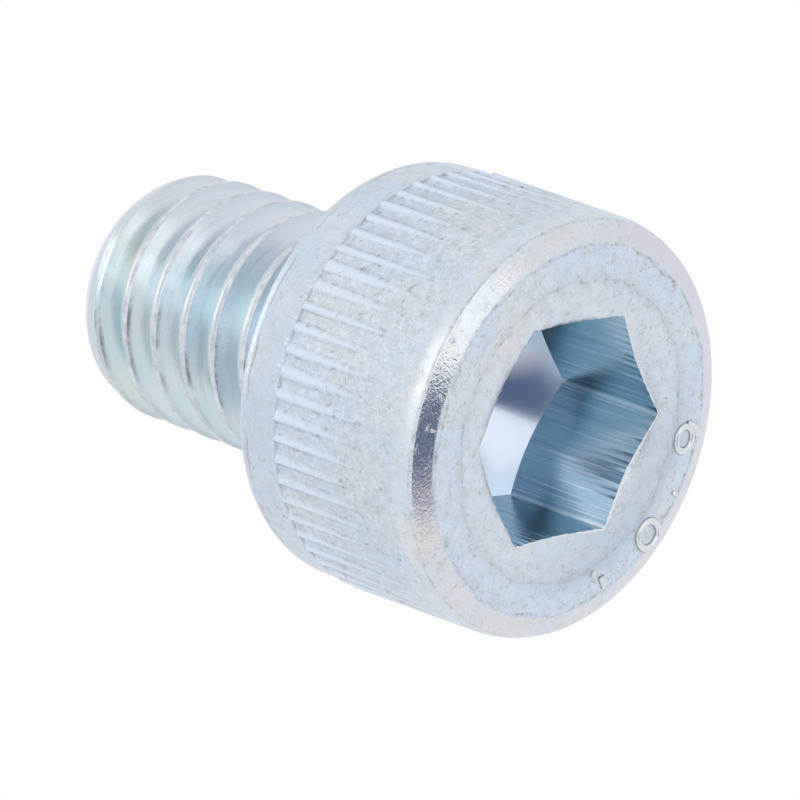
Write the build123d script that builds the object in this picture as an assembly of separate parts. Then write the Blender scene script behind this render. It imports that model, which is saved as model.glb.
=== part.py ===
from build123d import *
import math
import os

# A short socket head cap screw, cold headed and thread rolled from one piece of steel.
# It stands on the face of its head: the face is at z = 0 and the thread points up.

# Head
head_height = 5.9
knurl_diameter = 10.06
nose_diameter = 9.92
collar_diameter = 9.86
collar_width = 1.45
bevel_width = 0.61
bevel_height = 0.26
nose_round = 0.3
face_round = 0.25
collar_round = 0.5

# Knurl grooves, shallow and wide, deepest at the collar and rising to nothing short of the nose
knurl_count = 60
groove_depth = 0.085
groove_fade_length = 2.9463
groove_top_share = 0.9
groove_floor_share = 0.3
knurl_turn_angle = 1.8

# Hexagon socket
socket_width = 5.04
socket_depth = 3.05
socket_floor_angle = 130.0
mouth_angle = 120.0
mouth_margin = 0.12

# Thread and the plain neck under the head
thread_diameter = 5.97
thread_pitch = 1.0
thread_angle = 60.0
thread_turn_angle = 195.0
thread_depth_share = 0.6
root_flat_share = 0.2
shank_length = 8.0
tip_diameter = 4.34
tip_chamfer_angle = 45.0
tip_taper_diameter = 5.4
tip_taper_length = 0.87
neck_diameter = 5.36
neck_length = 0.6
neck_fillet = 0.4
runout_length = 0.6

# How far every cutting tool runs past what it cuts
overrun = 0.05

knurl_radius = knurl_diameter / 2
nose_radius = nose_diameter / 2
collar_radius = collar_diameter / 2
face_radius = nose_radius - bevel_width
collar_start = head_height - collar_width
thread_radius = thread_diameter / 2
tip_radius = tip_diameter / 2
tip_height = head_height + shank_length
neck_radius = neck_diameter / 2
thread_depth = thread_depth_share * thread_pitch
root_flat = root_flat_share * thread_pitch


def turned(points, rounds=()):
    """Revolve a closed outline of (radius, height) points; rounds holds (point, radius) pairs."""
    outline = make_face(Polyline(*points, close=True))
    for corner, radius in rounds:
        vertex = outline.vertices().sort_by_distance(corner)[0]
        outline = fillet(vertex, radius)
    return revolve(Plane.XZ * outline, Axis.Z)


def head_blank():
    """The headed blank: flat face, bevelled front edge, knurling land, collar and round rear edge."""
    face_edge = (face_radius, 0)
    nose = (nose_radius, bevel_height)
    rear_edge = (collar_radius, head_height)
    points = [
        (0, 0),
        face_edge,
        nose,
        (knurl_radius, collar_start),
        (collar_radius, collar_start),
        rear_edge,
        (0, head_height),
    ]
    return turned(points, [(face_edge, face_round), (nose, nose_round), (rear_edge, collar_round)])


def knurl_grooves():
    """Straight grooves of a trapezium section, on a slant that brings each floor up to the land's cone."""
    spacing = math.pi * knurl_diameter / knurl_count
    half_top = groove_top_share * spacing / 2
    half_floor = groove_floor_share * spacing / 2
    floor_radius = knurl_radius - groove_depth
    outer_radius = knurl_radius + groove_depth
    half_outer = half_top + (half_top - half_floor)
    section = make_face(
        Polyline(
            (floor_radius, -half_floor),
            (outer_radius, -half_outer),
            (outer_radius, half_outer),
            (floor_radius, half_floor),
            close=True,
        )
    )
    land_slope = (knurl_radius - nose_radius) / (collar_start - bevel_height)
    slant = Vector(groove_depth - land_slope * groove_fade_length, 0, -groove_fade_length)
    reach = slant.length * (groove_depth + overrun) / groove_depth
    groove = extrude(Pos(0, 0, collar_start) * section, amount=reach, dir=slant.normalized())
    return [place * groove for place in PolarLocations(0, knurl_count, knurl_turn_angle)]


def hexagon_socket():
    """The void that the key goes into: a hexagon with a conical floor and a countersunk mouth."""
    corner_radius = socket_width / 2 / math.cos(math.pi / 6)
    floor_slope = 1 / math.tan(math.radians(socket_floor_angle / 2))
    floor_depth = socket_depth + corner_radius * floor_slope
    hexagon = RegularPolygon(socket_width / 2, 6, major_radius=False)
    bar = extrude(Pos(0, 0, -overrun) * hexagon, amount=overrun + floor_depth)
    outer = corner_radius + overrun
    punch = turned(
        [
            (0, -overrun),
            (outer, -overrun),
            (outer, socket_depth - overrun * floor_slope),
            (0, floor_depth),
        ]
    )
    mouth_radius = corner_radius + mouth_margin
    mouth_slope = 1 / math.tan(math.radians(mouth_angle / 2))
    mouth = turned(
        [
            (0, -overrun),
            (mouth_radius + overrun / mouth_slope, -overrun),
            (0, mouth_radius * mouth_slope),
        ]
    )
    return bar & punch, mouth


def thread_turn():
    """One turn of the V groove with its flat root, starting at z = 0 on the X axis."""
    root = thread_radius - thread_depth
    outer = thread_radius + overrun
    half_root = root_flat / 2
    half_outer = half_root + (outer - root) * math.tan(math.radians(thread_angle / 2))
    outline = Polyline(
        (root, -half_root),
        (outer, -half_outer),
        (outer, half_outer),
        (root, half_root),
        close=True,
    )
    path = Helix(thread_pitch, thread_pitch, thread_radius)
    return sweep(Plane.XZ * make_face(outline), path=path, is_frenet=True)


def threaded_shank():
    """The rolled shank: run-out at the head end, thread, and a tip that tapers into a chamfer."""
    tip_slope = math.tan(math.radians(tip_chamfer_angle))
    taper_radius = tip_taper_diameter / 2
    chamfer_start = tip_height - (taper_radius - tip_radius) * tip_slope
    neck_top = head_height + neck_length
    points = [
        (0, head_height - neck_fillet),
        (neck_radius, head_height - neck_fillet),
        (neck_radius, neck_top),
        (thread_radius, neck_top + runout_length),
        (thread_radius, chamfer_start - tip_taper_length),
        (taper_radius, chamfer_start),
        (tip_radius, tip_height),
        (0, tip_height),
    ]
    shank = turned(points)
    turn = Rot(0, 0, thread_turn_angle) * thread_turn()
    turn_count = math.ceil(shank_length / thread_pitch) + 2
    for number in range(turn_count):
        shank -= Pos(0, 0, head_height + (number - 1) * thread_pitch) * turn
    return shank


def neck():
    """The plain neck that the thread runs out on, with the fillet under the head."""
    root = thread_radius - thread_depth
    neck_top = head_height + neck_length
    inside = root - overrun
    corner = (neck_radius, head_height)
    points = [
        (0, head_height - neck_fillet),
        (neck_radius + 2 * neck_fillet, head_height - neck_fillet),
        (neck_radius + 2 * neck_fillet, head_height),
        corner,
        (neck_radius, neck_top),
        (inside, neck_top + neck_radius - inside),
        (0, neck_top + neck_radius - inside),
    ]
    return turned(points, [(corner, neck_fillet)])


def socket_screw():
    """The whole screw as one solid."""
    socket, mouth = hexagon_socket()
    head = head_blank() - knurl_grooves() - socket - mouth
    return head + threaded_shank() + neck()


os.makedirs("parts", exist_ok=True)
export_step(socket_screw(), "parts/socket_screw.step")
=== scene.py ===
import math
import bpy
import numpy as np
from mathutils import Matrix, Vector


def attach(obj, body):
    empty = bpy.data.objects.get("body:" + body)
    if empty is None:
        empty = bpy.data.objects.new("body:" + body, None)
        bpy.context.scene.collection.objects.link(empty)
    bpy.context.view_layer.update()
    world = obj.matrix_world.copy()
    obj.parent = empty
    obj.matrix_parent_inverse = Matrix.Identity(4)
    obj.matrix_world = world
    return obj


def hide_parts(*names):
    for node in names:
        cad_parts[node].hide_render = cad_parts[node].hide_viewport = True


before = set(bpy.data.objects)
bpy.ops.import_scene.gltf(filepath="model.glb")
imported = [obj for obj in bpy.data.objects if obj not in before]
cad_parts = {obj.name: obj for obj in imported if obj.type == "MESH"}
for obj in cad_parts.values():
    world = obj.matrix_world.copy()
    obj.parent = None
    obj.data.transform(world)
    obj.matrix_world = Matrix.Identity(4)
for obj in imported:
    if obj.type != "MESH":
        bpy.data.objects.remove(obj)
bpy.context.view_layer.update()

# Head: a steel wire's end, cold headed to a short cylinder with a flat face, a bevelled front edge and
# a plain collar at the back. The hexagon is punched into the face and the knurl is rolled into the
# side. It is modelled in millimetres as one profile spun about the screw's axis, then pressed to shape.
head_height = 5.9
knurl_radius = 5.03
nose_radius = 4.96
collar_radius = 4.965
collar_start = 4.45
collar_step = 0.035
bevel_width = 0.61
bevel_height = 0.26
bevel_edge_share = 0.84
bevel_edge_round = 0.12
shoulder_height = 0.444
shoulder_round = 0.8
face_round = 0.25
collar_round = 0.5
neck_radius = 2.68
neck_fillet = 0.4
neck_top = 6.5
neck_core_radius = 2.2
neck_core_length = 0.48
socket_flat = 2.52
socket_corner = socket_flat / math.cos(math.pi / 6)
socket_depth = 3.05
socket_floor_angle = 130.0
floor_slope = 1 / math.tan(math.radians(socket_floor_angle / 2))
wall_front = 0.1
wall_rows = (0.012, 0.15, 0.3, 0.45, 0.6, 0.75, 0.9, 0.985)
mouth_radius = 3.5
mouth_drop = 0.18
mouth_rows = 9
knurl_count = 60
knurl_turn = 1.8
knurl_columns = [-0.5, -0.46, -0.4, -0.3, -0.2, -0.1, 0, 0.1, 0.2, 0.3, 0.4, 0.46]
head_columns = knurl_count * len(knurl_columns)
merge_gap = 0.0004


def rounded(before, corner, after, radius, steps):
    """Points of the arc that rounds one corner of a profile."""
    corner = np.array(corner)
    to_before = np.array(before) - corner
    to_after = np.array(after) - corner
    to_before = to_before / np.linalg.norm(to_before)
    to_after = to_after / np.linalg.norm(to_after)
    half = math.acos(np.clip(to_before @ to_after, -1, 1)) / 2
    middle = to_before + to_after
    centre = corner + middle / np.linalg.norm(middle) * radius / math.sin(half)
    first = corner + to_before * radius / math.tan(half) - centre
    last = corner + to_after * radius / math.tan(half) - centre
    sweep = math.pi - 2 * half
    arc = []
    for share in np.linspace(0, 1, steps + 1):
        spoke = math.sin((1 - share) * sweep) * first + math.sin(share * sweep) * last
        arc.append(tuple(centre + spoke / math.sin(sweep)))
    return arc


def between(start, end, steps):
    """Points on a straight run of a profile, without its two ends."""
    start = np.array(start)
    run = np.array(end) - start
    return [tuple(start + run * step / steps) for step in range(1, steps)]


def chain(name, points):
    """A new piece that is a chain of edges through (radius, height) points on the XZ plane."""
    bpy.ops.object.select_all(action="DESELECT")
    bpy.ops.mesh.primitive_plane_add(size=1)
    piece = bpy.context.active_object
    piece.name = name
    piece.data.name = name
    bpy.ops.object.mode_set(mode="EDIT")
    bpy.ops.mesh.merge(type="CENTER")
    bpy.ops.transform.translate(value=(points[0][0], 0, points[0][1]))
    for before, after in zip(points, points[1:]):
        step = (after[0] - before[0], 0, after[1] - before[1])
        bpy.ops.mesh.extrude_vertices_move(TRANSFORM_OT_translate={"value": step})
    bpy.ops.object.mode_set(mode="OBJECT")
    return piece


def spun(name, points, columns, rise=0.0, turns=1):
    """A profile turned about the screw's axis by a Screw modifier, climbing by rise at every turn."""
    piece = chain(name, points)
    screw = piece.modifiers.new("screw", "SCREW")
    screw.axis = "Z"
    screw.angle = 2 * math.pi
    screw.screw_offset = rise
    screw.iterations = turns
    screw.steps = columns
    screw.render_steps = columns
    screw.use_merge_vertices = True
    screw.merge_threshold = merge_gap
    bpy.ops.object.modifier_apply(modifier="screw")
    bpy.ops.object.mode_set(mode="EDIT")
    bpy.ops.mesh.select_all(action="SELECT")
    bpy.ops.mesh.remove_doubles(threshold=merge_gap)
    bpy.ops.mesh.normals_make_consistent(inside=False)
    bpy.ops.object.mode_set(mode="OBJECT")
    return piece


def read_points(piece):
    """The corners of a mesh, one row each."""
    flat = np.empty(len(piece.data.vertices) * 3)
    piece.data.vertices.foreach_get("co", flat)
    return flat.reshape(-1, 3)


def write_points(piece, points):
    """Move the corners of a mesh to new places."""
    piece.data.vertices.foreach_set("co", points.ravel())
    piece.data.update()


floor_middle = (0, socket_depth + socket_corner * floor_slope)
wall_foot = (socket_corner, socket_depth)
wall_mouth = (socket_corner, wall_front)
mouth_edge = (mouth_radius, 0)
face_edge = (nose_radius - bevel_width, 0)
bevel_edge = (nose_radius - bevel_width * (1 - bevel_edge_share), bevel_height * bevel_edge_share)
shoulder = (nose_radius, shoulder_height)
knurl_end = (knurl_radius, collar_start)
collar_front = (collar_radius, collar_start + collar_step)
rear_edge = (collar_radius, head_height)
neck_corner = (neck_radius, head_height)
neck_end = (neck_radius, neck_top)
core_top = neck_top + neck_core_length

face_arc = rounded(mouth_edge, face_edge, bevel_edge, face_round, 3)
nose_arc = rounded(face_edge, bevel_edge, shoulder, bevel_edge_round, 4)
nose_arc += rounded(bevel_edge, shoulder, knurl_end, shoulder_round, 6)
rear_arc = rounded(collar_front, rear_edge, neck_corner, collar_round, 7)
neck_arc = rounded(rear_edge, neck_corner, neck_end, neck_fillet, 6)
head_profile = [floor_middle] + between(floor_middle, wall_foot, 6) + [wall_foot]
head_profile += [(socket_corner, socket_depth + (wall_front - socket_depth) * row) for row in wall_rows]
head_profile += [wall_mouth] + between(wall_mouth, mouth_edge, mouth_rows) + [mouth_edge]
head_profile += between(mouth_edge, face_arc[0], 4) + face_arc
head_profile += between(face_arc[-1], nose_arc[0], 3) + nose_arc
head_profile += between(nose_arc[-1], knurl_end, 36) + [knurl_end, collar_front]
head_profile += between(collar_front, rear_arc[0], 4) + rear_arc
head_profile += between(rear_arc[-1], neck_arc[0], 3) + neck_arc
head_profile += [neck_end, (neck_core_radius, core_top), (0, core_top)]
head = spun("head", head_profile, head_columns)

# The columns of the spun head are gathered at the knurl's ridges, which stand between its grooves.
dice = np.random.default_rng(11)
points = read_points(head)
radius = np.hypot(points[:, 0], points[:, 1])
height = points[:, 2].copy()
column = np.rint(np.arctan2(points[:, 1], points[:, 0]) / (2 * math.pi) * head_columns).astype(int)
groove, place = np.divmod(column % head_columns, len(knurl_columns))
angle = np.radians(knurl_turn + 360 / knurl_count * (groove + np.array(knurl_columns)[place]))


def hexagon_at(angle):
    """How far the hexagon's wall is from the axis at an angle."""
    return socket_flat / np.cos(np.radians(np.degrees(angle) % 60 - 30))


def rolled_in(reach):
    """How far the face is drawn in by the punch at this distance from the axis."""
    return mouth_drop * np.clip((mouth_radius - reach) / (mouth_radius - socket_flat), 0, 1) ** 3


# The punched hexagon: floor, walls and countersunk mouth move in from the corner circle to the flats.
# Its edge is a narrow lip, ragged in height and torn in and out by about a hundredth of a millimetre.
lip_width = 0.04
lip_height = 0.015
ragged_height = 0.006
torn_depth = 0.008
socket_reach = 5
face_reach = 0.5
touch = 1e-4
hexagon = hexagon_at(angle)
ragged = ragged_height * (np.sin(angle * 23 + 1) * np.sin(angle * 7) + np.sin(angle * 61) / 2)
torn = torn_depth * (np.sin(angle * 29 + 2) * np.sin(angle * 11 + 1) + np.sin(angle * 83 + 1) / 2)
foot = socket_depth + (socket_corner - hexagon) * floor_slope
mouth = rolled_in(hexagon) + lip_height + ragged
inside = height < socket_reach
on_floor = inside & (height >= socket_depth - touch) & (radius <= socket_corner + touch)
on_wall = inside & (height < socket_depth - touch) & (np.abs(radius - socket_corner) < touch)
on_mouth = (height < face_reach) & (radius > socket_corner + touch) & (radius < mouth_radius - touch)
floor_radius = radius / socket_corner * hexagon
rise = (socket_depth - height) / (socket_depth - wall_front)
by_mouth = np.clip(4 * rise - 3, 0, 1)
lean = (radius - socket_corner) / (mouth_radius - socket_corner)
by_lip = np.clip(1 - 6 * lean, 0, 1)
spread = np.clip((lean * mouth_rows - 1) / (mouth_rows - 1), 0, 1) ** 1.4
rim = hexagon + lip_width + (mouth_radius - hexagon - lip_width) * spread
new_radius = radius.copy()
new_height = height.copy()
new_radius[on_floor] = floor_radius[on_floor]
new_height[on_floor] = (socket_depth + (socket_corner - floor_radius) * floor_slope)[on_floor]
new_radius[on_wall] = (hexagon + torn * by_mouth ** 2)[on_wall]
new_height[on_wall] = (foot + (mouth - foot) * rise)[on_wall]
new_radius[on_mouth] = (rim + torn * by_lip)[on_mouth]
new_height[on_mouth] = (rolled_in(rim) + ragged * by_lip)[on_mouth]

# The rolled knurl: straight ridges, tallest and widest at the collar, that run out to a point at uneven
# lengths. They stand between the grooves, so ridge 0 is half a spacing before groove 0.
ridge_height = 0.1
ridge_half_width = 0.32
ridge_lean = 0.25
ridge_tip_height = 1.05
ridge_tip_swing = 0.3
ridge_tip_swing_start = 150
ridge_tip_spread = 0.25
ridge_tip_least = 0.7
ridge_width_spread = 0.12
ridge_roughness = 0.003
knurl_front = 0.35
side_radius = 4.5
swing = np.sin(np.radians(np.arange(knurl_count) * 360 / knurl_count + ridge_tip_swing_start))
ridge_tip = ridge_tip_height + ridge_tip_swing * swing + dice.normal(0, ridge_tip_spread, knurl_count)
ridge_tip = np.clip(ridge_tip, ridge_tip_least, None)
ridge_gain = 1 + dice.normal(0, ridge_width_spread, knurl_count)


def ridged(angle, height):
    """How far the ridge nearest to a point has grown at its height, and how near its crest the point is."""
    place = (np.degrees(angle) - knurl_turn) / 360 * knurl_count + 0.5
    ridge = np.rint(place).astype(int)
    tip = ridge_tip[ridge % knurl_count]
    grown = np.clip((height - tip) / (collar_start - tip), 0, 1)
    off_crest = place - ridge
    half_width = ridge_half_width * grown ** 0.25 * ridge_gain[ridge % knurl_count] + 1e-6
    half_width *= np.where(off_crest > 0, 1 + ridge_lean, 1 - ridge_lean)
    return grown, np.clip(1 - np.abs(off_crest) / half_width, 0, 1)


on_knurl = (radius > side_radius) & (height > knurl_front) & (height < collar_start + touch)
grown, crest = ridged(angle, height)
relief = ridge_height * grown * (1 - crest * (1.5 - 0.5 * crest))
relief += dice.normal(0, ridge_roughness, len(radius)) * grown
new_radius[on_knurl] -= np.clip(relief, 0, None)[on_knurl]
write_points(head, np.column_stack((new_radius * np.cos(angle), new_radius * np.sin(angle), new_height)))

# Shank: the thread is rolled into the same blank, so its root is round and its crest is smooth. It runs
# out on a plain neck under the head and ends in a chamfered tip. One pitch of the section is drawn and
# turned up the axis by a Screw modifier, then trimmed to the blank's outline.
thread_radius = 2.985
thread_pitch = 1.0
thread_angle = 60.0
thread_turn = 195.0
thread_turns = 10
thread_columns = 120
root_round = 0.2
crest_round = 0.04
half_crest = thread_pitch / 16
runout_length = 0.61
closing_start = 12.9
closing_length = 0.5
tip_height = 13.9
tip_radius = 2.17
tip_round = 1.7
trim_bottom = 5.2
trim_top = 14.1
blank_bottom = 5.5
blank_margin = 0.01
blank_columns = 180

flank = math.tan(math.radians(thread_angle / 2))
root_corner = (thread_radius - (thread_pitch / 2 - half_crest) / flank, 0)
groove_start = head_height - thread_pitch - thread_turn / 360 * thread_pitch
section_low = (thread_radius, -thread_pitch / 2)
section_high = (thread_radius, thread_pitch / 2)
crest_low = (thread_radius, half_crest - thread_pitch / 2)
crest_high = (thread_radius, thread_pitch / 2 - half_crest)
thread_section = [section_low]
thread_section += rounded(section_low, crest_low, root_corner, crest_round, 4)
thread_section += rounded(crest_low, root_corner, crest_high, root_round, 9)
thread_section += rounded(root_corner, crest_high, section_high, crest_round, 4)
thread_section += [section_high]
first_turn = [(out, groove_start + up) for out, up in thread_section]
shank = spun("shank", first_turn, thread_columns, thread_pitch, thread_turns)

# Towards the tip the rolled groove gets shallower and closes on the rounded shoulder.
points = read_points(shank)
radius = np.hypot(points[:, 0], points[:, 1])
closed = np.clip((points[:, 2] - closing_start) / closing_length, 0, 1)
points[:, :2] *= (1 + closed * (thread_radius - radius) / radius)[:, None]
write_points(shank, points)
bpy.ops.object.mode_set(mode="EDIT")
for level, clear_low in ((trim_bottom, True), (trim_top, False)):
    bpy.ops.mesh.select_all(action="SELECT")
    bpy.ops.mesh.bisect(
        plane_co=(0, 0, level),
        plane_no=(0, 0, 1),
        use_fill=True,
        clear_inner=clear_low,
        clear_outer=not clear_low,
    )
bpy.ops.mesh.select_all(action="SELECT")
bpy.ops.mesh.normals_make_consistent(inside=False)
bpy.ops.object.mode_set(mode="OBJECT")

wide = thread_radius + blank_margin
narrow = neck_radius - blank_margin
tip_shoulder = (wide, tip_height - (wide - tip_radius))
tip_edge = (tip_radius, tip_height)
blank_profile = [(0, blank_bottom), (narrow, blank_bottom), (narrow, neck_top)]
blank_profile += [(wide, neck_top + runout_length)]
blank_profile += rounded((wide, neck_top), tip_shoulder, tip_edge, tip_round, 10)
blank_profile += [tip_edge, (0, tip_height)]
blank = spun("blank", blank_profile, blank_columns)


def boolean(piece, tool, operation):
    """Apply one boolean to a piece and delete the tool."""
    bpy.ops.object.select_all(action="DESELECT")
    bpy.context.view_layer.objects.active = piece
    piece.select_set(True)
    change = piece.modifiers.new("boolean", "BOOLEAN")
    change.object = tool
    change.operation = operation
    change.solver = "EXACT"
    bpy.ops.object.modifier_apply(modifier="boolean")
    bpy.data.objects.remove(tool)


boolean(shank, blank, "INTERSECT")

# One piece: head and shank are the same steel, so they become one closed mesh, in metres. Edges that
# turn by more than the crisp angle keep their crease.
crisp_angle = 38
per_metre = 1000
millimetre = 1 / per_metre
micron = millimetre / 1000
boolean(head, shank, "UNION")
screw_body = head
screw_body.name = "screw_body"
screw_body.data.name = "screw_body"
bpy.ops.object.mode_set(mode="EDIT")
bpy.ops.mesh.select_all(action="SELECT")
bpy.ops.transform.resize(value=(millimetre, millimetre, millimetre), center_override=(0, 0, 0))
bpy.ops.object.mode_set(mode="OBJECT")
bpy.ops.object.shade_smooth_by_angle(angle=math.radians(crisp_angle))
weighted = screw_body.modifiers.new("weighted", "WEIGHTED_NORMAL")
weighted.keep_sharp = True
bpy.ops.object.modifier_apply(modifier="weighted")


def colour(text):
    """An sRGB hex value as linear colour with alpha."""
    channels = [int(text[place : place + 2], 16) / 255 for place in (1, 3, 5)]
    return [c / 12.92 if c <= 0.04045 else ((c + 0.055) / 1.055) ** 2.4 for c in channels] + [1.0]


def add(tree, kind, inputs=(), out=0, **settings):
    """Add a node with its settings and inputs, each a value or a socket to link from; give one output.

    Inputs go by name or number. A Map Range takes a value, its range (1, 2) and the new range (3, 4).
    A Mix takes a share and two numbers (2, 3), or a share and two colours (6, 7).
    """
    made = tree.nodes.new("ShaderNode" + kind)
    for name, value in settings.items():
        setattr(made, name, value)
    for name, value in dict(inputs).items():
        if isinstance(value, bpy.types.NodeSocket):
            tree.links.new(value, made.inputs[name])
        else:
            made.inputs[name].default_value = value
    return made.outputs[out]


def new_material(name):
    """A material with its node tree and its shader."""
    material = bpy.data.materials.new(name)
    material.use_nodes = True
    tree = material.node_tree
    return material, tree, tree.nodes["Principled BSDF"]


def in_millimetres(tree):
    """The place on the piece in millimetres, and the same place as separate X, Y and Z."""
    metres = add(tree, "TexCoord", out="Object")
    mm = add(tree, "Mapping", {"Vector": metres, "Scale": (per_metre, per_metre, per_metre)})
    return mm, add(tree, "SeparateXYZ", {"Vector": mm}).node.outputs


def from_axis(tree, mm):
    """The distance from the screw's axis."""
    level = add(tree, "VectorMath", {0: mm, 1: (1, 1, 0)}, operation="MULTIPLY")
    return add(tree, "VectorMath", {0: level}, out="Value", operation="LENGTH")


def away(tree, value, line):
    """How far a value is from a line, to either side."""
    gap = add(tree, "Math", {0: value, 1: line}, operation="SUBTRACT")
    return add(tree, "Math", {0: gap}, operation="ABSOLUTE")


def plate(tree, shader, links):
    """Make a finish a metal and link its colour, roughness and bump."""
    shader.inputs["Metallic"].default_value = 1.0
    for name, value in links.items():
        tree.links.new(value, shader.inputs[name])


# Clear passivated zinc on the cold headed surface: a satin pale blue metal with a faint cream and lilac
# cast, a fine grain from the plating, and pits and scuffs from the barrel that it was plated in. The
# plating's own crystals are a few microns wide, too fine to show, so the grain is drawn at 0.06 mm.
grains_per_mm = 17.0
patches_per_mm = 3.2
casts_per_mm = 0.42
pits_per_mm = 4.5
specks_per_mm = 7.0
gatherings_per_mm = 0.8
headed, tree, shader = new_material("clear_passivated_zinc_headed")
mm, split = in_millimetres(tree)
out = from_axis(tree, mm)
grain = add(tree, "TexNoise", {"Vector": mm, "Scale": grains_per_mm, "Detail": 3.0, "Roughness": 0.6})
patch = add(tree, "TexNoise", {"Vector": mm, "Scale": patches_per_mm, "Detail": 6.0, "Roughness": 0.68})
cast = add(tree, "TexNoise", {"Vector": mm, "Scale": casts_per_mm, "Detail": 3.0})
pits = add(tree, "TexNoise", {"Vector": mm, "Scale": pits_per_mm, "Detail": 8.0, "Roughness": 0.75})
speck = add(tree, "TexNoise", {"Vector": mm, "Scale": specks_per_mm, "Detail": 6.0, "Roughness": 0.75})
near = add(tree, "TexNoise", {"Vector": mm, "Scale": gatherings_per_mm, "Detail": 3.0})

# Each layer is a share and the colour that it lays over those before it.
cream_share = add(tree, "MapRange", {0: cast, 1: 0.48, 2: 0.72})
lilac_share = add(tree, "MapRange", {0: cast, 1: 0.45, 2: 0.3, 4: 0.6})
dull_share = add(tree, "MapRange", {0: patch, 1: 0.44, 2: 0.66, 4: 0.8})
fleck_share = add(tree, "MapRange", {0: grain, 1: 0.3, 2: 0.7, 4: 0.36})
base = colour("#c3d4e7")
layers = [(cream_share, "#d5d8db"), (lilac_share, "#cfd2e2")]
layers += [(dull_share, "#b9c2ca"), (fleck_share, "#eaeef2")]

# The side keeps the rough, flecked skin of the wire, and only the knurl's ridges are burnished; their
# tops carry a painted bluish-white highlight. The mesh carries how near each point is to a crest. Painted
# shade lies in a broken line along the ridges' feet.
by_ridge = add(tree, "Attribute", out="Fac", attribute_name="crest")
past_nose = add(tree, "MapRange", {0: split["Z"], 1: 0.5, 2: 0.9})
before_collar = add(tree, "MapRange", {0: split["Z"], 1: collar_start + 0.02, 2: collar_start, 3: 0.35})
on_side = add(tree, "Math", {0: past_nose, 1: before_collar}, operation="MULTIPLY")
ragged_ridge = add(tree, "Math", {0: patch, 1: 0.9, 2: by_ridge}, operation="MULTIPLY_ADD")
burnish_and_highlight = add(tree, "MapRange", {0: ragged_ridge, 1: 0.55, 2: 1.2})
unburnished = add(tree, "MapRange", {0: burnish_and_highlight, 3: 1.0, 4: 0.3})
rough_share = add(tree, "Math", {0: unburnished, 1: on_side}, operation="MULTIPLY")
for low, high, weight, tint in ((0.6, 0.34, 0.45, "#a9b5bf"), (0.54, 0.7, 0.4, "#e6ebf0")):
    speck_share = add(tree, "MapRange", {0: speck, 1: low, 2: high, 4: weight})
    speck_share = add(tree, "Math", {0: speck_share, 1: rough_share}, operation="MULTIPLY")
    layers += [(speck_share, tint)]
# Painted highlight: the tops of the knurl's ridges are painted a bluish white.
ridge_highlight_share = add(tree, "Math", {0: burnish_and_highlight, 1: before_collar}, operation="MULTIPLY")
ridge_highlight_share = add(tree, "Math", {0: ridge_highlight_share, 1: 0.85}, operation="MULTIPLY")
# Painted shade: a broken dark line along the feet of the ridges.
above_foot = add(tree, "MapRange", {0: by_ridge, 1: 0.02, 2: 0.12})
below_ridge = add(tree, "MapRange", {0: by_ridge, 1: 0.45, 2: 0.2})
foot_shade_share = add(tree, "MapRange", {0: pits, 1: 0.47, 2: 0.62, 4: 0.45})
at_foot = add(tree, "Math", {0: above_foot, 1: below_ridge}, operation="MULTIPLY")
foot_shade_share = add(tree, "Math", {0: foot_shade_share, 1: at_foot}, operation="MULTIPLY")
layers += [(ridge_highlight_share, "#d6e2f2"), (foot_shade_share, "#83878e")]

# Pits gather in patches, more of them in the grooves and by the edge of the face.
gather = add(tree, "MapRange", {0: near, 1: 0.4, 2: 0.62, 4: 0.7})
gather = add(tree, "Math", {0: rough_share, 1: 0.4, 2: gather}, operation="MULTIPLY_ADD")
by_edge = add(tree, "MapRange", {0: out, 1: 4.0, 2: face_edge[0], 4: 0.4})
gather = add(tree, "Math", {0: gather, 1: by_edge}, operation="ADD")
pit_share = add(tree, "MapRange", {0: pits, 1: 0.58, 2: 0.7, 4: 0.75})
pit_share = add(tree, "Math", {0: pit_share, 1: gather}, operation="MULTIPLY", use_clamp=True)
layers += [(pit_share, "#8a8684")]

# Scratches: three sets of fine straight lines about 1.4 mm long, each broken up along its length. A real
# one is a few microns wide, so they are drawn at 0.08 mm.
scratches_per_mm = (0.7, 13, 13)
for bearing, shift in ((0.5, 3.0), (1.7, 11.0), (2.6, 23.0)):
    turned_by = {"Rotation": (0.3, 0.5, bearing), "Location": (shift, 0, shift)}
    swung = add(tree, "Mapping", {"Vector": mm, **turned_by})
    drawn = add(tree, "Mapping", {"Vector": swung, "Scale": scratches_per_mm})
    scratch = add(tree, "TexNoise", {"Vector": drawn, "Scale": 1.0, "Detail": 2.0})
    layers += [(add(tree, "MapRange", {0: scratch, 1: 0.70, 2: 0.76, 4: 0.45}), "#a6a6aa")]

# The punch scuffs a ring round the socket and draws the face into a dish, paler by the hexagon, with a
# painted bluish shade on one side of the dish. Dirt lies in a line round the dish and in the turn between
# face and bevel.
ring = add(tree, "Math", {0: patch, 1: 0.5, 2: out}, operation="MULTIPLY_ADD")
ring_share = add(tree, "MapRange", {0: away(tree, ring, 3.77), 1: 0.2, 2: 0.0, 4: 0.16})
at_face = add(tree, "MapRange", {0: split["Z"], 1: 0.06, 2: 0.02})
ring_share = add(tree, "Math", {0: ring_share, 1: at_face}, operation="MULTIPLY")
swayed = add(tree, "Math", {0: near, 1: 0.5, 2: out}, operation="MULTIPLY_ADD")
on_front = add(tree, "MapRange", {0: split["Z"], 1: 0.6, 2: 0.3})
inner_share = add(tree, "MapRange", {0: swayed, 1: 3.9, 2: 3.65, 4: 0.2})
inner_share = add(tree, "Math", {0: inner_share, 1: on_front}, operation="MULTIPLY")
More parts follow.
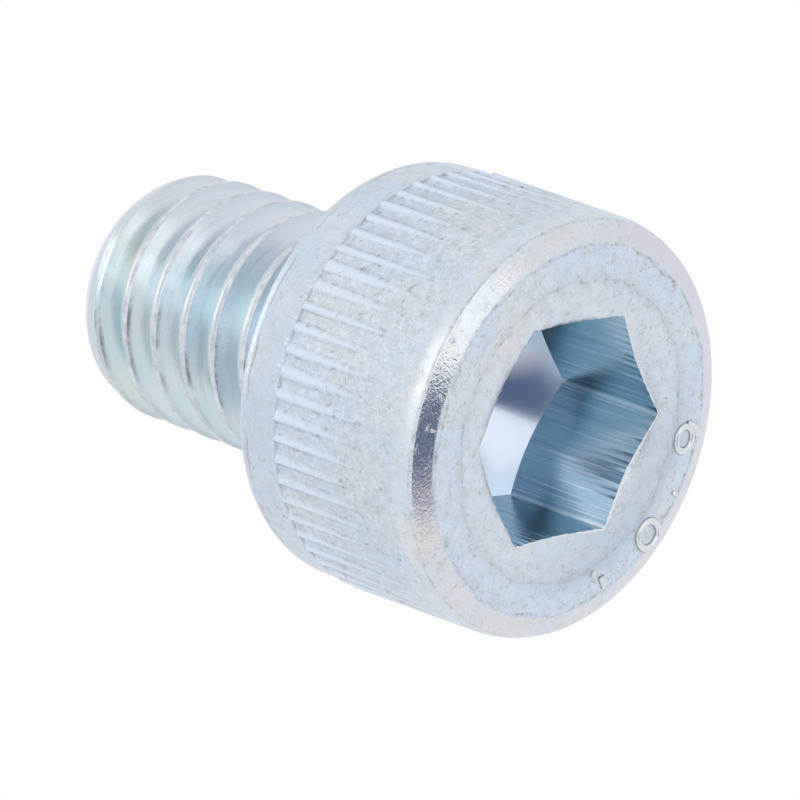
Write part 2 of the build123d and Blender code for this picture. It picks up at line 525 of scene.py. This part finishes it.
# Painted shade: one side of the dish is painted a darker blue.
toward_dish_shade = add(tree, "VectorMath", {0: mm, 1: (-0.97, 0.25, 0)}, out="Value", operation="DOT_PRODUCT")
dish_shade_share = add(tree, "MapRange", {0: toward_dish_shade, 1: 1.4, 2: 3.0, 4: 0.4})
in_dish = add(tree, "MapRange", {0: swayed, 1: 4.3, 2: 3.9})
for where in (in_dish, on_front):
    dish_shade_share = add(tree, "Math", {0: dish_shade_share, 1: where}, operation="MULTIPLY")
layers += [(ring_share, "#9b9793"), (inner_share, "#dcdbdd"), (dish_shade_share, "#a9bbcd")]
line_broken = add(tree, "MapRange", {0: pits, 1: 0.44, 2: 0.6})
for line_radius, line_width, line_weight in ((3.8, 0.05, 0.4), (4.57, 0.06, 0.65)):
    off_line = away(tree, swayed, line_radius)
    line_share = add(tree, "MapRange", {0: off_line, 1: line_width, 2: 0.0, 4: line_weight})
    for where in (line_broken, on_front):
        line_share = add(tree, "Math", {0: line_share, 1: where}, operation="MULTIPLY")
    layers += [(line_share, "#857f7f")]

# Barrel scuffs: thin wandering lines, brown with dirt, that gather in patches on the face and the bevel.
scuffs_per_mm = 1.8
scuff_look = {"Detail": 5.0, "Roughness": 0.62, "Distortion": 0.5}
wander = add(tree, "TexNoise", {"Vector": mm, "Scale": scuffs_per_mm, **scuff_look})
scuff_share = add(tree, "MapRange", {0: away(tree, wander, 0.5), 1: 0.02, 2: 0.0, 4: 0.6})
scuff_broken = add(tree, "MapRange", {0: pits, 1: 0.46, 2: 0.58})
for where in (scuff_broken, on_front):
    scuff_share = add(tree, "Math", {0: scuff_share, 1: where}, operation="MULTIPLY")
layers += [(scuff_share, "#928c8c")]

# The collar was rolled smooth by the edge of the knurling tool and took an even, bluer film. Painted
# shade lies in a broken dark line in the step before it.
step_at = collar_start + 0.01
on_collar = add(tree, "MapRange", {0: split["Z"], 1: step_at, 2: step_at + 0.03})
film_share = add(tree, "MapRange", {0: near, 1: 0.35, 2: 0.6, 3: 0.3, 4: 0.15})
film_share = add(tree, "Math", {0: on_collar, 1: film_share}, operation="MULTIPLY")
on_step = add(tree, "MapRange", {0: away(tree, split["Z"], step_at), 1: 0.05, 2: 0.02})
# Painted shade: a broken dark line in the step before the collar.
step_shade_share = add(tree, "MapRange", {0: pits, 1: 0.4, 2: 0.6, 3: 0.05, 4: 0.38})
step_shade_share = add(tree, "Math", {0: on_step, 1: step_shade_share}, operation="MULTIPLY")
layers += [(film_share, "#b8c6d5"), (step_shade_share, "#8b909b")]

# The punch leaves a thin burr along the edge of the hexagon, painted bright as a highlight; the mesh
# carries where that is.
by_burr = add(tree, "Attribute", out="Fac", attribute_name="burr")
by_burr = add(tree, "Math", {0: pits, 1: 0.8, 2: by_burr}, operation="MULTIPLY_ADD")
burr_highlight_share = add(tree, "MapRange", {0: by_burr, 1: 0.9, 2: 1.3, 4: 0.9})
burr_broken = add(tree, "MapRange", {0: near, 1: 0.42, 2: 0.55, 3: 0.2, 4: 1.0})
burr_highlight_share = add(tree, "Math", {0: burr_highlight_share, 1: burr_broken}, operation="MULTIPLY")
layers += [(burr_highlight_share, "#e8eaec")]

# At the back the collar turns over to the bearing face, and dirt lies in a broken line along that turn.
turn_line = add(tree, "Math", {0: patch, 1: 0.25, 2: split["Z"]}, operation="MULTIPLY_ADD")
turn_share = add(tree, "MapRange", {0: away(tree, turn_line, 5.535), 1: 0.035, 2: 0.01})
turn_broken = add(tree, "MapRange", {0: near, 1: 0.38, 2: 0.55, 4: 0.55})
turn_share = add(tree, "Math", {0: turn_share, 1: turn_broken}, operation="MULTIPLY")
layers += [(turn_share, "#8d898a")]

# The bevel is pressed by the die and comes out brighter than the face beside it, with worn edges. Its
# film is warm, with a painted lilac sheen on one half. The nose behind it carries a painted cream-white
# highlight.
past_face = add(tree, "MapRange", {0: out, 1: face_edge[0] - 0.02, 2: face_edge[0] + 0.07})
before_side = add(tree, "MapRange", {0: split["Z"], 1: 0.32, 2: 0.24})
on_bevel = add(tree, "Math", {0: past_face, 1: before_side}, operation="MULTIPLY")
edge_line = add(tree, "Math", {0: patch, 1: 0.16, 2: out}, operation="MULTIPLY_ADD")
edge_share = add(tree, "MapRange", {0: away(tree, edge_line, 4.955), 1: 0.03, 2: 0.008, 4: 0.7})
edge_broken = add(tree, "MapRange", {0: pits, 1: 0.42, 2: 0.6})
for where in (edge_broken, on_bevel):
    edge_share = add(tree, "Math", {0: edge_share, 1: where}, operation="MULTIPLY")
on_nose = add(tree, "Math", {0: patch, 1: 0.9, 2: split["Z"]}, operation="MULTIPLY_ADD")
on_nose = add(tree, "MapRange", {0: on_nose, 1: 1.15, 2: 0.95})
# Painted highlight: a cream-white glow on the nose.
nose_highlight_share = add(tree, "MapRange", {0: near, 1: 0.35, 2: 0.6, 3: 0.1, 4: 0.32})
for where in (on_nose, past_face):
    nose_highlight_share = add(tree, "Math", {0: nose_highlight_share, 1: where}, operation="MULTIPLY")
on_cone = add(tree, "MapRange", {0: split["Z"], 1: 0.25, 2: 0.2})
on_cone = add(tree, "Math", {0: past_face, 1: on_cone}, operation="MULTIPLY")
warm_share = add(tree, "Math", {0: on_cone, 1: 0.2}, operation="MULTIPLY")
# Painted sheen: the bevel's half on one side is painted lilac.
toward_sheen_side = add(tree, "VectorMath", {0: mm, 1: (-0.4, 0.92, 0)}, out="Value", operation="DOT_PRODUCT")
lilac_sheen_share = add(tree, "MapRange", {0: toward_sheen_side, 1: 0.5, 2: 3.0, 4: 0.55})
lilac_sheen_share = add(tree, "Math", {0: lilac_sheen_share, 1: on_cone}, operation="MULTIPLY")
layers += [(edge_share, "#8f8d94"), (nose_highlight_share, "#e4e1dc")]
layers += [(warm_share, "#dcd3cf"), (lilac_sheen_share, "#cdcedb")]
for share, tint in layers:
    base = add(tree, "Mix", {0: share, 6: base, 7: colour(tint)}, out=2, data_type="RGBA")

# The bevel and the bearing face are the glossiest, because the dies press them. The burr and the step
# are dull. The glints on the bevel are drawn at 0.07 mm, many times the plating's crystals.
waves_per_mm = 2.6
glints_per_mm = 15.0
satin = add(tree, "MapRange", {0: patch, 1: 0.3, 2: 0.7, 3: 0.30, 4: 0.42})
pressed = add(tree, "MapRange", {0: patch, 1: 0.3, 2: 0.7, 3: 0.12, 4: 0.2})
gloss = add(tree, "Mix", {0: on_cone, 2: satin, 3: pressed})
dulled = add(tree, "Math", {0: burr_highlight_share, 1: on_step}, operation="MAXIMUM")
gloss = add(tree, "Mix", {0: dulled, 2: gloss, 3: 0.6})
on_bearing = add(tree, "MapRange", {0: split["Z"], 1: head_height - 0.04, 2: head_height - 0.005})
gloss = add(tree, "Mix", {0: on_bearing, 2: gloss, 3: 0.14})
coined = add(tree, "Math", {0: on_bevel, 1: on_bearing}, operation="MAXIMUM")
tooth = add(tree, "Math", {0: rough_share, 1: 0.5, 2: 0.28}, operation="MULTIPLY_ADD")
tooth = add(tree, "Math", {0: on_bevel, 1: -0.15, 2: tooth}, operation="MULTIPLY_ADD")
tooth = add(tree, "Math", {0: on_bearing, 1: -0.24, 2: tooth}, operation="MULTIPLY_ADD")
crusted = add(tree, "Math", {0: coined, 1: -0.27, 2: 0.3}, operation="MULTIPLY_ADD")
glinting = add(tree, "Math", {0: on_cone, 1: 0.55}, operation="MULTIPLY")
wave = add(tree, "TexNoise", {"Vector": mm, "Scale": waves_per_mm, "Detail": 2.0})
glint = add(tree, "TexNoise", {"Vector": mm, "Scale": glints_per_mm, "Detail": 1.0})
bumps = add(tree, "Bump", {"Strength": 0.2, "Distance": 30 * micron, "Height": wave})
for strength, depth, pattern in (
    (tooth, 20, grain),
    (crusted, 30, patch),
    (glinting, 10, glint),
):
    bump = {"Strength": strength, "Distance": depth * micron, "Height": pattern, "Normal": bumps}
    bumps = add(tree, "Bump", bump)
dent = {"Strength": 0.25, "Distance": 20 * micron, "Height": pit_share, "Normal": bumps}
dents = add(tree, "Bump", dent, invert=True)
plate(tree, shader, {"Base Color": base, "Roughness": gloss, "Normal": dents})

# The same plating on the rolled thread: the dies leave it smooth and bright, with fine lines along the
# thread, a teal cast in the grooves, and crests rubbed to a pinkish white with dark streaks beside them.
# The dies' own lines are finer than they show, so they are drawn at 0.08 mm.
die_lines_per_mm = (0.5, 0.5, 12)
smears_per_mm = (1.0, 1.0, 2.0)
rubs_per_mm = 3.5
shank_casts_per_mm = 0.5
rolled, tree, shader = new_material("clear_passivated_zinc_rolled")
mm, split = in_millimetres(tree)
out = from_axis(tree, mm)
along = add(tree, "Mapping", {"Vector": mm, "Scale": die_lines_per_mm})
lines = add(tree, "TexNoise", {"Vector": along, "Scale": 1.0, "Detail": 3.0, "Roughness": 0.6})
cast = add(tree, "TexNoise", {"Vector": mm, "Scale": shank_casts_per_mm, "Detail": 2.0})
cast_share = add(tree, "MapRange", {0: cast, 1: 0.4, 2: 0.6})
near_tip = add(tree, "MapRange", {0: split["Z"], 1: 11.4, 2: 12.6, 4: 0.55})
olive_share = add(tree, "Math", {0: near_tip, 1: cast_share}, operation="MULTIPLY")
above = add(tree, "VectorMath", {0: mm, 1: (0.79, 0.61, 0)}, out="Value", operation="DOT_PRODUCT")
# Painted sheen: the upper side of the shank is painted a paler lilac.
upper_sheen_share = add(tree, "MapRange", {0: above, 1: 1.2, 2: 2.6, 4: 0.65})
pale_share = add(tree, "MapRange", {0: lines, 1: 0.5, 2: 0.75, 4: 0.4})
dark_share = add(tree, "MapRange", {0: lines, 1: 0.46, 2: 0.3, 4: 0.4})
# Painted shade: the flanks are painted darker towards the crests.
crest_shade_share = add(tree, "MapRange", {0: out, 1: 2.7, 2: 2.95, 4: 0.25})
dark_share = add(tree, "Math", {0: dark_share, 1: crest_shade_share}, operation="MAXIMUM")
at_tip = add(tree, "MapRange", {0: split["Z"], 1: 13.0, 2: 13.3, 4: 0.85})
base = colour("#c6d8df")
layers = [(cast_share, "#d1dbe1"), (olive_share, "#cfd5c6"), (upper_sheen_share, "#d2d5e4")]
layers += [(pale_share, "#dde5ea"), (dark_share, "#9db3bc"), (at_tip, "#d5d8e8")]
for share, tint in layers:
    base = add(tree, "Mix", {0: share, 6: base, 7: colour(tint)}, out=2, data_type="RGBA")

# The crests are rubbed unevenly. Dark streaks lie beside them, on one side of the shank and short of the
# tip.
crest_share = add(tree, "MapRange", {0: out, 1: 2.968, 2: 2.982, 4: 0.7})
rubbed = add(tree, "TexNoise", {"Vector": mm, "Scale": rubs_per_mm, "Detail": 5.0, "Roughness": 0.65})
rubbed = add(tree, "MapRange", {0: rubbed, 1: 0.4, 2: 0.6})
rubbed_tints = {6: colour("#b9b8c4"), 7: colour("#e0dfe7")}
crest_tint = add(tree, "Mix", {0: rubbed, **rubbed_tints}, out=2, data_type="RGBA")
base = add(tree, "Mix", {0: crest_share, 6: base, 7: crest_tint}, out=2, data_type="RGBA")
by_head = add(tree, "MapRange", {0: split["Z"], 1: 7.7, 2: 7.3, 4: 0.6})
smeared = add(tree, "Mapping", {"Vector": mm, "Scale": smears_per_mm})
smear = add(tree, "TexNoise", {"Vector": smeared, "Scale": 1.0, "Detail": 5.0, "Roughness": 0.65})
dark_streak_share = add(tree, "MapRange", {0: smear, 1: 0.42, 2: 0.56, 4: 0.8})
for where, start, end, least in (
    (above, 0.35, -0.1, 0.0),
    (above, -1.8, -1.1, 0.25),
    (split["Z"], 13.2, closing_start, 0.0),
    (out, 2.86, 2.93, 0.0),
    (out, 2.98, 2.96, 0.0),
):
    within = add(tree, "MapRange", {0: where, 1: start, 2: end, 3: least})
    dark_streak_share = add(tree, "Math", {0: dark_streak_share, 1: within}, operation="MULTIPLY")

# The end of the tip is the sheared end of the wire: grainy, a little darker and drawn one way.
tears_per_mm = (1.2, 4.5, 1)
on_end = add(tree, "MapRange", {0: split["Z"], 1: tip_height - 0.04, 2: tip_height - 0.01})
pulled = add(tree, "Mapping", {"Vector": mm, "Rotation": (0, 0, 0.6), "Scale": tears_per_mm})
sheared = add(tree, "TexNoise", {"Vector": pulled, "Scale": 1.6, "Detail": 7.0, "Roughness": 0.7})
sheared_share = add(tree, "MapRange", {0: sheared, 1: 0.4, 2: 0.62, 3: 0.1, 4: 0.45})
sheared_share = add(tree, "Math", {0: sheared_share, 1: on_end}, operation="MULTIPLY")
for share, tint in ((by_head, "#e4e1e8"), (dark_streak_share, "#6b6b74"), (sheared_share, "#a9b2bd")):
    base = add(tree, "Mix", {0: share, 6: base, 7: colour(tint)}, out=2, data_type="RGBA")
gloss = add(tree, "MapRange", {0: lines, 1: 0.3, 2: 0.7, 3: 0.22, 4: 0.32})
gloss = add(tree, "Mix", {0: crest_share, 2: gloss, 3: 0.45})
gloss = add(tree, "Mix", {0: on_end, 2: gloss, 3: 0.42})
ribs = add(tree, "Bump", {"Strength": 0.1, "Distance": 20 * micron, "Height": lines})
tearing = add(tree, "Math", {0: on_end, 1: 0.5}, operation="MULTIPLY")
tears = {"Strength": tearing, "Distance": 60 * micron, "Height": sheared, "Normal": ribs}
plate(tree, shader, {"Base Color": base, "Roughness": gloss, "Normal": add(tree, "Bump", tears)})

# The punched hexagon: glossy plating over walls that the punch drew into fine lines along the axis, and
# a coined floor that is almost a mirror. The lines are drawn at 0.1 and 0.04 mm, coarser than the
# punch's own. A painted highlight runs as a bright line down each corner between two walls.
punch_lines_per_mm = (9, 9, 0.22)
fine_lines_per_mm = (24, 24, 0.3)
punched, tree, shader = new_material("clear_passivated_zinc_punched")
mm, split = in_millimetres(tree)
along = add(tree, "Mapping", {"Vector": mm, "Scale": punch_lines_per_mm})
lines = add(tree, "TexNoise", {"Vector": along, "Scale": 1.0, "Detail": 4.0, "Roughness": 0.65})
fine = add(tree, "Mapping", {"Vector": mm, "Scale": fine_lines_per_mm})
fine = add(tree, "TexNoise", {"Vector": fine, "Scale": 1.0, "Detail": 2.0})
pale_share = add(tree, "MapRange", {0: lines, 1: 0.55, 2: 0.72, 4: 0.6})
fine_share = add(tree, "MapRange", {0: fine, 1: 0.60, 2: 0.68, 4: 0.9})
dark_share = add(tree, "MapRange", {0: lines, 1: 0.44, 2: 0.34, 4: 0.35})
# Painted highlight along each corner of the hexagon.
round_axis = add(tree, "Math", {0: split["Y"], 1: split["X"]}, operation="ARCTAN2")
off_corner = add(tree, "Math", {0: round_axis, 1: math.pi / 6}, operation="PINGPONG")
corner_highlight_share = add(tree, "MapRange", {0: off_corner, 1: 0.03, 2: 0.008, 4: 1.0})
facing = add(tree, "NewGeometry", out="Normal")
facing = add(tree, "SeparateXYZ", {"Vector": facing}, out="Z")
floor_share = add(tree, "MapRange", {0: facing, 1: -0.3, 2: -0.6})
base = colour("#bcd6e1")
layers = [(pale_share, "#dceaf2"), (fine_share, "#f0f6fa"), (dark_share, "#879db0")]
layers += [(corner_highlight_share, "#f6fbfd"), (floor_share, "#c6d0e0")]
for share, tint in layers:
    base = add(tree, "Mix", {0: share, 6: base, 7: colour(tint)}, out=2, data_type="RGBA")
gloss = add(tree, "Mix", {0: floor_share, 2: 0.18, 3: 0.16})
drawing = add(tree, "MapRange", {0: floor_share, 3: 0.22, 4: 0.0})
ribs = add(tree, "Bump", {"Strength": drawing, "Distance": 20 * micron, "Height": lines})
plate(tree, shader, {"Base Color": base, "Roughness": gloss, "Normal": ribs})

# Each face takes the finish of its place: 0 headed, 1 rolled, 2 punched. Each corner of the mesh carries
# how near it is to the crest of a ridge and to the burr.
finish_gap = 0.02
wall_gap = 0.05
burr_width = 0.1
for material in (headed, rolled, punched):
    screw_body.data.materials.append(material)
centres = np.empty(len(screw_body.data.polygons) * 3)
screw_body.data.polygons.foreach_get("center", centres)
across, along, height = (centres.reshape(-1, 3) * per_metre).T
hexagon = hexagon_at(np.arctan2(along, across))
finish = np.zeros(len(height), dtype=np.int32)
finish[height > head_height + finish_gap] = 1
in_socket = (height < socket_reach) & (height > rolled_in(hexagon) + finish_gap)
finish[in_socket & (np.hypot(across, along) < hexagon + wall_gap)] = 2
screw_body.data.polygons.foreach_set("material_index", finish)
across, along, height = (read_points(screw_body) * per_metre).T
angle = np.arctan2(along, across)
radius = np.hypot(across, along)
grown, crest = ridged(angle, height)
crest *= np.clip(1.25 * grown, 0, 1) ** 0.8
crest[(radius < side_radius) | (height > collar_start + 0.01)] = 0
burr = np.clip(1 - (radius - hexagon_at(angle)) / burr_width, 0, 1)
burr[height > face_reach] = 0
for name, amount in (("burr", burr), ("crest", crest)):
    carried = screw_body.data.attributes.new(name, "FLOAT", "POINT")
    carried.data.foreach_set("value", amount.astype(np.float32))
screw_body.data.update()
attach(screw_body, "root")
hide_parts("socket_screw")

# Property class numerals: raised on the face by the heading die, plain rounded strokes that stand 0.06
# to 0.07 mm proud. Each stroke is a round bar sunk into the face, with the same plating, painted a paler
# mottled tone on top as a highlight and with painted shade along its foot. The plating's grain is drawn
# coarser than it is.
stroke_radius = 0.11
struck_grains_per_mm = 9.0
struck, tree, shader = new_material("clear_passivated_zinc_struck")
mm, split = in_millimetres(tree)
grain_look = {"Scale": struck_grains_per_mm, "Detail": 4.0, "Roughness": 0.65}
grain = add(tree, "TexNoise", {"Vector": mm, **grain_look})
foot_level = add(tree, "Math", {0: grain, 1: 0.03, 2: split["Z"]}, operation="MULTIPLY_ADD")
# Painted shade along the foot of each stroke.
stroke_foot_shade_share = add(tree, "MapRange", {0: foot_level, 1: -0.022, 2: 0.0, 4: 0.75})
base = colour("#c8d0d8")
# Painted highlight: the strokes are painted paler, mottled by the grain.
for share, tint in ((grain, "#e6e8ea"), (stroke_foot_shade_share, "#74757b")):
    base = add(tree, "Mix", {0: share, 6: base, 7: colour(tint)}, out=2, data_type="RGBA")
skin = add(tree, "Bump", {"Strength": 0.3, "Distance": 20 * micron, "Height": grain})
shader.inputs["Roughness"].default_value = 0.3
plate(tree, shader, {"Base Color": base, "Normal": skin})

# Each numeral has its distance from the axis, its bearing, its strokes as (onward, inward) points,
# whether they close, and how far the strokes' middle is sunk. The digit one came up only in part.
one = [[(-0.24, 0.12), (-0.12, 0.24)], [(0.02, 0.0), (0.04, -0.30)]]
nought = [(0.36, 0.0), (0.25, 0.27), (0.0, 0.33), (-0.25, 0.27)]
nought += [(-x, -y) for x, y in nought]
nine_ring = [(0.33, 0.0), (0.22, 0.22), (0.0, 0.27), (-0.22, 0.22)]
nine_ring += [(-x, -y) for x, y in nine_ring]
nine_tail = [(0.34, 0.02), (0.36, -0.18), (0.27, -0.38), (0.05, -0.46)]
for name, reach, bearing, strokes, closed, sunk in (
    ("one", 3.93, 188.7, one, False, 0.05),
    ("nought", 4.10, 164.7, [nought], True, 0.04),
    ("point", 4.20, 148.7, [[(-0.05, 0.0), (0.05, 0.0)]], False, 0.04),
    ("nine_ring", 3.90, 130.7, [nine_ring], True, 0.04),
    ("nine_tail", 3.90, 130.7, [nine_tail], False, 0.04),
):
    curve = bpy.data.curves.new("numeral_" + name, "CURVE")
    curve.dimensions = "3D"
    curve.bevel_resolution = 4
    curve.bevel_depth = stroke_radius * millimetre
    curve.use_fill_caps = True
    bearing = math.radians(bearing)
    outward = Vector((math.cos(bearing), math.sin(bearing), 0))
    onward = Vector((math.sin(bearing), -math.cos(bearing), 0))
    for stroke in strokes:
        spline = curve.splines.new("NURBS")
        spline.points.add(len(stroke) - 1)
        for point, (x, y) in zip(spline.points, stroke):
            place = outward * (reach - y) + onward * x + Vector((0, 0, sunk))
            point.co = (*(place * millimetre), 1)
        spline.use_cyclic_u = closed
        spline.use_endpoint_u = not closed
        spline.order_u = min(4, len(stroke))
    numeral = bpy.data.objects.new("numeral_" + name, curve)
    bpy.context.collection.objects.link(numeral)
    bpy.ops.object.select_all(action="DESELECT")
    bpy.context.view_layer.objects.active = numeral
    numeral.select_set(True)
    bpy.ops.object.convert(target="MESH")
    bpy.ops.object.shade_smooth()
    numeral.data.materials.clear()
    numeral.data.materials.append(struck)
    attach(numeral, "root")

# Studio, in metres: white surroundings with seven soft boxes, a navy card that the bevel mirrors, and a
# plain pale floor. The photograph looks at the screw's face from below, so the floor shows only from
# above.
right = Vector((-0.28429, 0.65636, -0.69885))
up = Vector((0.76279, 0.59645, 0.24988))
back = Vector((0.58084, -0.46205, -0.67020))
camera_place = Vector((0.08981, -0.07224, -0.098865))
middle = Vector((0, 0, 0.006))
lamp_distance = 0.25
card_distance = 0.2
card_size = 0.108
card_width_share = 0.72
floor_size = 0.6
floor_gap = 0.00012
bpy.ops.object.camera_add()
camera = bpy.context.active_object
camera.matrix_world = Matrix.Translation(camera_place) @ Matrix((right, up, back)).transposed().to_4x4()
camera.data.lens = 303.58
camera.data.sensor_width = 36
camera.data.clip_start = 0.005
bpy.context.scene.camera = camera


def placed(shares, distance):
    """Where a lamp or card stands, given as right, up and back shares seen from the camera."""
    way = (right * shares[0] + up * shares[1] + back * shares[2]).normalized()
    side = up.cross(way).normalized()
    turned = Matrix((side, way.cross(side), way)).transposed().to_4x4()
    return Matrix.Translation(middle + way * distance) @ turned


for name, shares, size, radiance in (
    ("key_box", (0.81, -0.05, 0.58), 0.10, 0.34),
    ("front_box", (-0.60, 0.28, 0.75), 0.16, 0.75),
    ("lens_box", (0.42, 0.05, 0.90), 0.06, 0.8),
    ("hand_box", (0.55, 0.18, 0.815), 0.06, 0.4),
    ("side_box", (0.68, 0.30, 0.67), 0.06, 0.6),
    ("rear_box", (-0.815, 0.30, -0.50), 0.10, 1.2),
    ("top_box", (-0.49, 0.85, -0.19), 0.16, 0.1),
):
    bpy.ops.object.light_add(type="AREA")
    lamp = bpy.context.active_object
    lamp.name = name
    lamp.matrix_world = placed(shares, lamp_distance)
    lamp.data.size = size
    lamp.data.energy = radiance * math.pi * size * size

bpy.ops.mesh.primitive_plane_add(size=card_size)
card = bpy.context.active_object
card.name = "dark_card"
narrowed = Matrix.Diagonal((card_width_share, 1, 1, 1))
card.matrix_world = placed((0.625, -0.48, 0.615), card_distance) @ narrowed
card_paint, tree, shader = new_material("navy_card")
metres = add(tree, "TexCoord", out="Object")
up_card = add(tree, "SeparateXYZ", {"Vector": metres}, out="Y")
navy_share = add(tree, "MapRange", {0: up_card, 1: -0.046, 2: -0.008})
card_tints = {6: colour("#e8dde2"), 7: colour("#5f7195")}
navy = add(tree, "Mix", {0: navy_share, **card_tints}, out=2, data_type="RGBA")
tree.links.new(navy, shader.inputs["Base Color"])
shader.inputs["Roughness"].default_value = 0.9
card.data.materials.append(card_paint)
card.visible_camera = False
card.visible_diffuse = False
card.visible_shadow = False

bpy.ops.mesh.primitive_plane_add(size=floor_size, location=(0, 0, -floor_gap))
floor = bpy.context.active_object
floor.name = "floor"
floor_paint, tree, shader = new_material("pale_floor")
shader.inputs["Base Color"].default_value = colour("#eeeeee")
shader.inputs["Roughness"].default_value = 0.9
below = add(tree, "NewGeometry", out="Backfacing")
clear = add(tree, "BsdfTransparent")
sides = add(tree, "MixShader", {0: below, 1: shader.outputs[0], 2: clear})
tree.links.new(sides, tree.nodes["Material Output"].inputs["Surface"])
floor.data.materials.append(floor_paint)
floor.visible_diffuse = False
floor.visible_glossy = False
floor.visible_transmission = False
floor.visible_shadow = False

# The surroundings light the screw a little less than they show in it.
world = bpy.data.worlds.new("studio")
bpy.context.scene.world = world
world.use_nodes = True
tree = world.node_tree
path = add(tree, "LightPath").node.outputs
seen = path["Is Camera Ray"]
for ray in ("Is Glossy Ray", "Is Transmission Ray"):
    seen = add(tree, "Math", {0: seen, 1: path[ray]}, operation="ADD", use_clamp=True)
strength = add(tree, "MapRange", {0: seen, 3: 0.85, 4: 1.0})
tree.nodes["Background"].inputs["Color"].default_value = (1, 1, 1, 1)
tree.links.new(strength, tree.nodes["Background"].inputs["Strength"])
bpy.context.scene.view_settings.view_transform = "Standard"
